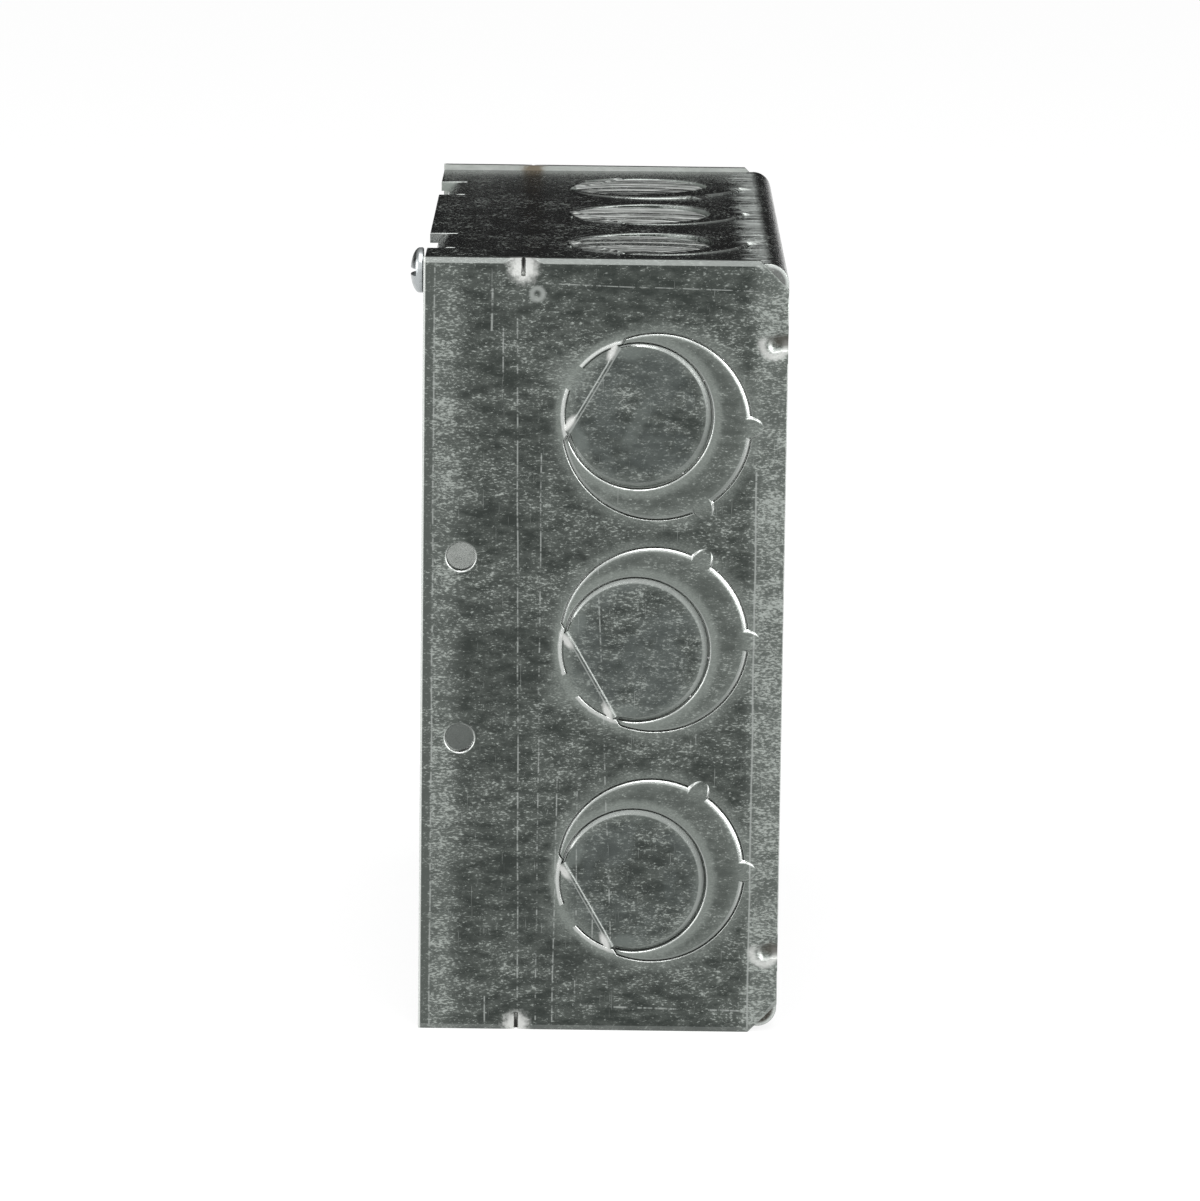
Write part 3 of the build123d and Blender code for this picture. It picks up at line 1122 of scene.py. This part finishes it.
def foldMaterial():
    bendRadius = foldedSheet["bendRadius"]
    bendHeight = backHeight - bendRadius
    material, surface, place, normal = startMaterial("foldZinc")
    x, y, z = splitVector(place)
    inner = useGroup(insideFace, Vector=place, Normal=normal)["Mask"]
    grain = useGroup(zincGrain, Vector=place, Drawn=(0.55, 0.7, 1.0), Cover=0.005)
    rims = useGroup(rimPolishAndHighlight, Normal=normal)
    # painted highlight on the rims, weaker on the steepest
    polishAndHighlight = times(rims["Mask"], timesPlus(rims["Strong"], -0.45, 1.0))
    # the sheet's cut ends, with the bends' ends bright above and darker below
    cut = ramp(calc("ABSOLUTE", splitVector(normal)[0]), 0.7, 0.9)
    ends = times(cut, ramp(y, *foldedSheet["bendEnd"]))
    upper = calc("GREATER_THAN", z, 0.0)
    cut = times(cut, ramp(y, *foldedSheet["frontEnd"]))
    cut = larger(cut, times(times(ends, upper), 0.55))
    darkBelow = times(times(ends, calc("SUBTRACT", 1.0, upper)), 0.7)
    bendIn = calc("ADD", y, bendRadius)
    bendUp = calc("SUBTRACT", calc("ABSOLUTE", z), bendHeight)
    bendAway = calc("SQRT", timesPlus(bendIn, bendIn, times(bendUp, bendUp)))
    outline = times(ends, ramp(bendAway, bendRadius - 0.75, bendRadius - 0.25))
    # depth and width on a flap
    spread = joinVector(y, times(times(x, -1.0), calc("SIGN", z)))
    slugRubAndSheen = []
    wedges = []
    for spot in knockoutPlaces():
        # painted reflection: light streaks bowed about a far centre over each rubbed slug
        bow = spot.translation - Vector((0, foldedSheet["sheenStreakBow"], 0))
        curve = joinVector(distance(spread, bow), spot.translation.y)
        curved = ramp(cloud(curve, 0.55, 3.0, 0.6), 0.38, 0.62, 0.25, 1.15)
        away = distance(spread, spot.translation)
        slugRubAndSheen.append(times(ramp(away, *foldedSheet["rubbedSlug"]), curved))
        wedges += [creaseWedge(spread, spot, side) for side in (-1, 1)]
    drawn = vectorCalc("MULTIPLY", place, (1.6, 0.12, 1.0))
    streaks = ramp(cloud(drawn, 1.1, 3.0, 0.6), 0.38, 0.66)
    slugRubAndSheen = times(joinMasks(slugRubAndSheen), timesPlus(streaks, 0.8, 0.45), clamp=True)
    ragged = timesPlus(streaks, foldedSheet["dullRagged"], y)
    dulled = times(ramp(ragged, *foldedSheet["dullBand"]), ramp(y, *foldedSheet["dullEnd"]))
    dulled = times(dulled, timesPlus(streaks, 0.5, 0.3))
    clouds = times(grain["Clouds"], 0.8)
    tone = blend(clouds, zincFinish["flapTone"], zincFinish["midTone"])
    tone = paint(tone, [
        (grain["Flecks"], 1, "fleckTone"),
        (slugRubAndSheen, 1, "burnishAndHighlightTone"),
        (dulled, 1, "wornTone"),
        (joinMasks(wedges), 0.6, "weldAndHighlightTone"),
        (polishAndHighlight, 1, "scratchAndHighlightTone"),
        (cut, 1, "cutTone"),
        (darkBelow, 1, "heatAndShadeTone"),
        (outline, 0.8, "wornTone"),
    ])
    innerTone = blend(grain["Flecks"], zincFinish["paleTone"], zincFinish["innerTone"])
    rough = timesPlus(grain["Flecks"], 0.34, 0.17)
    rough = timesPlus(slugRubAndSheen, 0.3, rough)
    rough = timesPlus(dulled, 0.5, rough)
    satin = times(larger(slugRubAndSheen, dulled), 0.72)
    satin = larger(satin, times(larger(inner, outline), 0.6))
    feed(surface.inputs["Base Color"], blend(inner, tone, innerTone))
    feed(surface.inputs["Roughness"], timesPlus(inner, 0.3, rough))
    feed(surface.inputs["Metallic"], calc("SUBTRACT", 1.0, satin))
    addGrainBump(surface, grain)
    return material


def flapHeight(y):
    return backHeight + foldedSheet["drop"] * y / boxDepth


def flapPanel():
    # depth along X (0 at the back), the box's -X along Y, outer face up
    bend = foldedSheet["bendRadius"]
    root = foldedSheet["reliefDepth"] - boxDepth
    half = foldedSheet["earWidth"] / 2
    relief = half + foldedSheet["reliefWidth"]
    # a relief cut beside an ear, and the same on its other side
    notch = [(-boxDepth, relief), (root, relief), (root, half), (earBendAt, half)]
    notch += [(depth, -across) for depth, across in reversed(notch)]
    bm = bmesh.new()
    tip = bm.verts.new((-bend, -halfWrap, 0))
    tip = linesTo(bm, tip, (-bend, halfWrap), (-boxDepth, halfWrap))
    for middle in (foldedSheet["earAt"], -foldedSheet["earAt"]):
        tip = linesTo(bm, tip, *[(depth, middle + across) for depth, across in notch])
    linesTo(bm, tip, (-boxDepth, -halfWrap), (-bend, -halfWrap))
    for place in knockoutPlaces():
        gather(bm, knockoutOpening(), place)
    thickPanel(bm, lambda x, y: 0 if x > -bend - near or abs(x - earBendAt) < near else wallRim(x, y))
    addKnockouts(bm, knockout["flapRingRim"])
    return bm


def sheetBend(half, y, z, radius, angle):
    # the sheet's section at a bend's start, turned about X
    low = z - sheet["thickness"]
    bm = bmesh.new()
    section = sectionLoop(bm, [(-half, y, z), (half, y, z), (half, y, low), (-half, y, low)])
    bmesh.ops.spin(bm, geom=section, cent=(0, y, z - radius), axis=(1, 0, 0), angle=angle,
                   steps=foldedSheet["bendSteps"])
    faceOut(bm)
    outer = []
    for edge in bm.edges:
        reach = min(hypot(vert.co.y - y, vert.co.z - z + radius) for vert in edge.verts)
        side = min(abs(vert.co.x) for vert in edge.verts)
        if reach > radius - near and side > half - near and len(edge.link_faces) == 2:
            outer.append(edge)
    roundEdges(bm, outer, sheet["holeRim"], sheet["rimSegments"])
    closeEnds(bm)
    return bm


def earPanel():
    # the ear's upright part: across the box along X, height along Y, outer face up
    half = foldedSheet["earWidth"] / 2
    foot = frontHeight - foldedSheet["earLength"]
    top = flapHeight(earBendAt) - foldedSheet["earBendRadius"]
    corner = foldedSheet["earCornerRadius"]
    steps = foldedSheet["earCornerSteps"]
    bm = bmesh.new()
    tip = bm.verts.new((half, top, 0))
    tip = linesTo(bm, tip, (-half, top), (-half, foot + corner))
    tip = arcBy(bm, tip, (corner - half, foot + corner), pi / 2, steps)
    tip = linesTo(bm, tip, (half - corner, foot))
    tip = arcBy(bm, tip, (half - corner, foot + corner), pi / 2, steps)
    linesTo(bm, tip, (half, top))
    circleLoop(bm, 0, frontHeight - foldedSheet["earHoleBelow"], foldedSheet["earHoleRadius"],
               foldedSheet["earHoleSegments"])
    thickPanel(bm, lambda x, y: 0 if y > top - near else sheet["rim"])
    return bm


def bossMouth():
    return foldedSheet["bossRadius"] - sheet["thickness"] + 0.2


def groundBoss():
    # pressed inwards: a cup round the tapped hole
    thickness = sheet["thickness"]
    height = foldedSheet["bossHeight"]
    under = height + thickness
    hole = foldedSheet["bossHoleRadius"]
    outer = foldedSheet["bossRadius"]
    inner = outer - thickness
    mouth = bossMouth()
    profile = [(mouth, -thickness / 2), (mouth, -0.2), (inner, -0.6), (inner, -height + 0.5)]
    profile += [(inner - 0.5, -height), (hole + 0.3, -height), (hole, -height - 0.3), (hole, -under)]
    profile += [(outer - 0.9, -under), (outer - 0.25, -under + 0.25), (outer, -under + 0.9)]
    profile.append((outer, -thickness / 2))
    bm = spinProfile(profile, 2 * pi, foldedSheet["bossSegments"])
    faceOut(bm)
    return bm


def backSlug():
    edge = knockout["slugRadius"]
    drop = foldedSheet["slugDrop"]
    profile = [(0, -drop)]
    for inset, depth in roundProfile(knockout["slugRim"], knockout["slugRimDepth"], 5):
        profile.append((edge - inset, -drop - depth))
    profile += [(edge, -drop - sheet["thickness"]), (0, -drop - sheet["thickness"])]
    bm = spinProfile(profile, 2 * pi, knockout["steps"], closed=False)
    faceOut(bm)
    return bm


def backPanel():
    # the box's -X along X, height along Y, outer face up
    end = backHeight - foldedSheet["bendRadius"]
    bm = bmesh.new()
    tip = bm.verts.new((-halfWrap, -end, 0))
    linesTo(bm, tip, (halfWrap, -end), (halfWrap, end), (-halfWrap, end), (-halfWrap, -end))
    reach = foldedSheet["screwHoleSpacing"] / 2
    for x, y in ((-reach, 0), (reach, 0), (0, -reach), (0, reach)):
        circleLoop(bm, x, y, foldedSheet["screwHoleRadius"], foldedSheet["screwHoleSegments"])
    circleLoop(bm, 0, foldedSheet["bossAt"], bossMouth(), foldedSheet["bossSegments"])
    circleLoop(bm, 0, 0, knockout["slugRadius"] + knockout["slit"], knockout["steps"])
    thickPanel(bm, lambda x, y: 0 if abs(y) > end - near else sheet["rim"])
    gather(bm, groundBoss(), Matrix.Translation((0, foldedSheet["bossAt"], 0)))
    gather(bm, backSlug())
    return bm


def flapSide():
    # one flap with its bend at the back and its two ears, in the box's own axes
    bend = foldedSheet["bendRadius"]
    earBend = foldedSheet["earBendRadius"]
    half = foldedSheet["earWidth"] / 2
    slope = Vector((0, boxDepth, foldedSheet["drop"])).normalized()
    normal = Vector((0, -foldedSheet["drop"], boxDepth)).normalized()
    stand = Matrix((slope, Vector((-1, 0, 0)), normal)).transposed().to_4x4()
    earPlane = foldedSheet["earRecess"] - boxDepth
    upright = Matrix(((1, 0, 0, 0), (0, 0, -1, earPlane), (0, 1, 0, 0), (0, 0, 0, 1)))
    bm = bmesh.new()
    gather(bm, flapPanel(), Matrix.Translation((0, 0, backHeight)) @ stand)
    gather(bm, sheetBend(halfWrap, -bend, backHeight, bend, -pi / 2))
    for side in (-1, 1):
        across = Matrix.Translation((side * foldedSheet["earAt"], 0, 0))
        gather(bm, sheetBend(half, earBendAt, flapHeight(earBendAt), earBend, pi / 2), across)
        gather(bm, earPanel(), across @ upright)
    return bm


foldZinc = foldMaterial()
print("folded sheet's finish is mixed")

backStand = Matrix(((-1, 0, 0, 0), (0, 0, 1, 0), (0, 1, 0, 0), (0, 0, 0, 1)))
shape = bmesh.new()
gather(shape, flapSide())
gather(shape, flapSide(), halfTurn)
gather(shape, backPanel(), backStand)
piece = finishPiece("back_wrap_sheet", shape, foldZinc, "back_wrap")


# Cover screws

coverScrew = {
    "radius": 2.08,
    "coreRadius": 1.66,
    "pitch": 0.794,
    "length": 9.5,
    "headRadius": 3.5,
    "headHeight": 2.0,
    "headWall": 0.55,
    "headChamfer": 0.15,
    "standoff": 1.8,
    "slotWidth": 1.1,
    "slotDepth": 0.9,
    "domeSteps": 12,
    "headSegments": 72,
    "shankSegments": 32,
    "threadSegments": 28,   # in one turn
}


def screwHead():
    radius = coverScrew["headRadius"]
    wall = coverScrew["headWall"]
    chamfer = coverScrew["headChamfer"]
    rise = coverScrew["headHeight"] - wall
    steps = coverScrew["domeSteps"]
    halfSlot = coverScrew["slotWidth"] / 2
    floor = coverScrew["headHeight"] - coverScrew["slotDepth"]
    profile = [(0, 0), (radius - chamfer, 0), (radius, chamfer)]
    for step in range(steps + 1):
        angle = pi / 2 * step / steps
        profile.append((radius * cos(angle), wall + rise * sin(angle)))
    bm = spinProfile(profile, 2 * pi, coverScrew["headSegments"], closed=False)
    for side in (-1, 1):
        sliceAt(bm, (0, side * halfSlot, 0), (0, 1, 0))
    sliceAt(bm, (0, 0, floor), (0, 0, 1))
    # the strip between the cuts sinks to the slot's floor
    strip = []
    for face in bm.faces:
        middle = face.calc_center_median()
        if abs(middle.y) < halfSlot and middle.z > floor:
            strip.append(face)
    strip += dict.fromkeys(edge for face in strip for edge in face.edges)
    for vert in extruded(bm, strip, False):
        vert.co.z = floor
    mergePoints(bm, pointGap)
    bmesh.ops.dissolve_degenerate(bm, edges=bm.edges[:], dist=pointGap)
    faceOut(bm)
    return bm


def screwShank():
    radius = coverScrew["coreRadius"]
    length = coverScrew["length"]
    bm = bmesh.new()
    bmesh.ops.create_cone(bm, cap_ends=True, segments=coverScrew["shankSegments"], radius1=radius,
                          radius2=radius, depth=length, matrix=Matrix.Translation((0, 0, -length / 2)))
    return bm


def screwThread():
    # one tooth of the thread carried round and down
    pitch = coverScrew["pitch"]
    radius = coverScrew["radius"]
    core = coverScrew["coreRadius"] - 0.1
    turns = int(coverScrew["length"] / pitch) - 1
    perTurn = coverScrew["threadSegments"]
    bm = bmesh.new()
    tooth = sectionLoop(bm, [(core, 0, -0.45 * pitch), (radius, 0, -0.06 * pitch),
                             (radius, 0, 0.06 * pitch), (core, 0, 0.45 * pitch)])
    bmesh.ops.spin(bm, geom=tooth, cent=(0, 0, 0), axis=(0, 0, 1), angle=2 * pi * turns,
                   steps=perTurn * turns, dvec=(0, 0, -pitch / perTurn))
    bmesh.ops.holes_fill(bm, edges=bm.edges[:], sides=4)
    bmesh.ops.translate(bm, verts=bm.verts[:], vec=(0, 0, -0.6 * pitch))
    faceOut(bm)
    return bm


screwSeat = Matrix((
    (1, 0, 0, foldedSheet["earAt"]),
    (0, 0, -1, foldedSheet["earRecess"] - boxDepth - coverScrew["standoff"]),
    (0, 1, 0, frontHeight - foldedSheet["earHoleBelow"]),
    (0, 0, 0, 1),
))
shape = bmesh.new()
for turn in (Matrix.Identity(4), halfTurn):
    for made in (screwHead(), screwShank(), screwThread()):
        gather(shape, made, turn @ screwSeat)
piece = finishPiece("cover_screws_turned", shape, screwZinc, "cover_screws")


# Camera, floor and light

view = {
    "eye": (997.06, -27.81, 185.2),
    "target": (0.0, -27.81, -3.74),
    "lens": 189.08,
    "sensor": 36.0,
    "roll": 0.72,
}

studio = {
    "floorSize": 8.0,
    "floorGlow": 0.84,
    "floorTone": 0.16,
    "floorBounce": 0.8,     # how light the floor is to the object
    # brightness at heights above the horizon, from 0 to straight up
    "farSky": [(0.0, 0.025), (0.3, 0.03), (0.5, 0.3), (1.0, 0.8)],
    "frontSky": [(0.0, 0.9), (0.15, 1.5), (0.5, 1.3), (1.0, 0.8)],
    "skyTurn": (-0.3, 0.45),    # between these the far sky becomes the front sky
    # lamps in metres: place, size, radiance
    "lamps": {
        "overhead": ((0.35, -0.05, 1.2), (0.9, 0.9), 4.5),
        "right": ((0.6, 1.1, 0.5), (0.7, 0.9), 5.0),
        "left": ((0.3, -1.2, 0.4), (0.8, 0.7), 2.8),
    },
    "lampAim": (0, -0.03, 0),
}


def addCamera():
    eye = Vector(view["eye"]) * mm
    back = (eye - Vector(view["target"]) * mm).normalized()
    right = Vector((0, 0, 1)).cross(back).normalized()
    up = back.cross(right)
    roll = radians(view["roll"])
    rolledRight = right * cos(roll) + up * sin(roll)
    rolledUp = up * cos(roll) - right * sin(roll)
    data = bpy.data.cameras.new("camera")
    data.lens = view["lens"]
    data.sensor_width = view["sensor"]
    data.clip_start = 0.01
    camera = bpy.data.objects.new("camera", data)
    turn = Matrix((rolledRight, rolledUp, back)).transposed().to_4x4()
    camera.matrix_world = Matrix.Translation(eye) @ turn
    bpy.context.scene.collection.objects.link(camera)
    bpy.context.scene.camera = camera


def grey(tone):
    return (tone, tone, tone, 1)


def floorMaterial():
    # seen directly or in reflections it glows white and keeps a faint shadow, else it is light paper
    paper = bpy.data.materials.new("whitePaper")
    paper.use_nodes = True
    tree = paper.node_tree
    tree.nodes.clear()
    path = newNode(tree, "ShaderNodeLightPath").outputs
    seen = joinMasks([path[ray] for ray in ("Is Camera Ray", "Is Glossy Ray", "Is Transmission Ray")])
    lit = feedAll(newNode(tree, "ShaderNodeBsdfDiffuse"), Color=grey(studio["floorBounce"]))
    shaded = feedAll(newNode(tree, "ShaderNodeBsdfDiffuse"), Color=grey(studio["floorTone"]))
    glow = feedAll(newNode(tree, "ShaderNodeEmission"), Strength=studio["floorGlow"])
    both = newNode(tree, "ShaderNodeAddShader")
    mix = newNode(tree, "ShaderNodeMixShader")
    output = newNode(tree, "ShaderNodeOutputMaterial")
    feed(both.inputs[0], shaded[0])
    feed(both.inputs[1], glow[0])
    feed(mix.inputs["Fac"], seen)
    feed(mix.inputs[1], lit[0])
    feed(mix.inputs[2], both.outputs[0])
    feed(output.inputs["Surface"], mix.outputs[0])
    return paper


def addFloor():
    bm = bmesh.new()
    bmesh.ops.create_grid(bm, x_segments=1, y_segments=1, size=studio["floorSize"] / 2)
    bmesh.ops.translate(bm, verts=bm.verts[:], vec=(0, 0, -halfSide * mm))
    mesh = bpy.data.meshes.new("floor")
    bm.to_mesh(mesh)
    bm.free()
    mesh.materials.append(floorMaterial())
    floor = bpy.data.objects.new("floor", mesh)
    bpy.context.scene.collection.objects.link(floor)


def addLamp(name, place, size, radiance):
    data = bpy.data.lights.new(name, "AREA")
    data.shape = "RECTANGLE"
    data.size = size[0]
    data.size_y = size[1]
    data.energy = radiance * pi * size[0] * size[1]
    lamp = bpy.data.objects.new(name, data)
    away = (Vector(place) - Vector(studio["lampAim"])).normalized()
    lamp.matrix_world = Matrix.Translation(place) @ away.to_track_quat("Z", "Y").to_matrix().to_4x4()
    bpy.context.scene.collection.objects.link(lamp)


def skyRamp(height, stops):
    node = newNode(treeOf(height), "ShaderNodeValToRGB")
    feed(node.inputs["Fac"], height)
    elements = node.color_ramp.elements
    elements[0].position, elements[1].position = stops[0][0], stops[-1][0]
    for position, tone in stops[1:-1]:
        elements.new(position)
    for element, (position, tone) in zip(elements, stops):
        element.color = grey(tone)
    return node.outputs["Color"]


def addWorld():
    world = bpy.data.worlds.new("studio")
    bpy.context.scene.world = world
    world.use_nodes = True
    tree = world.node_tree
    direction = newNode(tree, "ShaderNodeTexCoord")
    sides = splitVector(direction.outputs["Generated"])
    far = skyRamp(sides[2], studio["farSky"])
    front = skyRamp(sides[2], studio["frontSky"])
    sky = blend(ramp(sides[0], *studio["skyTurn"]), far, front)
    feed(tree.nodes["Background"].inputs["Color"], sky)


addCamera()
addFloor()
for name, (place, size, radiance) in studio["lamps"].items():
    addLamp(name, place, size, radiance)
addWorld()
bpy.context.scene.view_settings.view_transform = "Standard"
print("camera, floor and light are set")
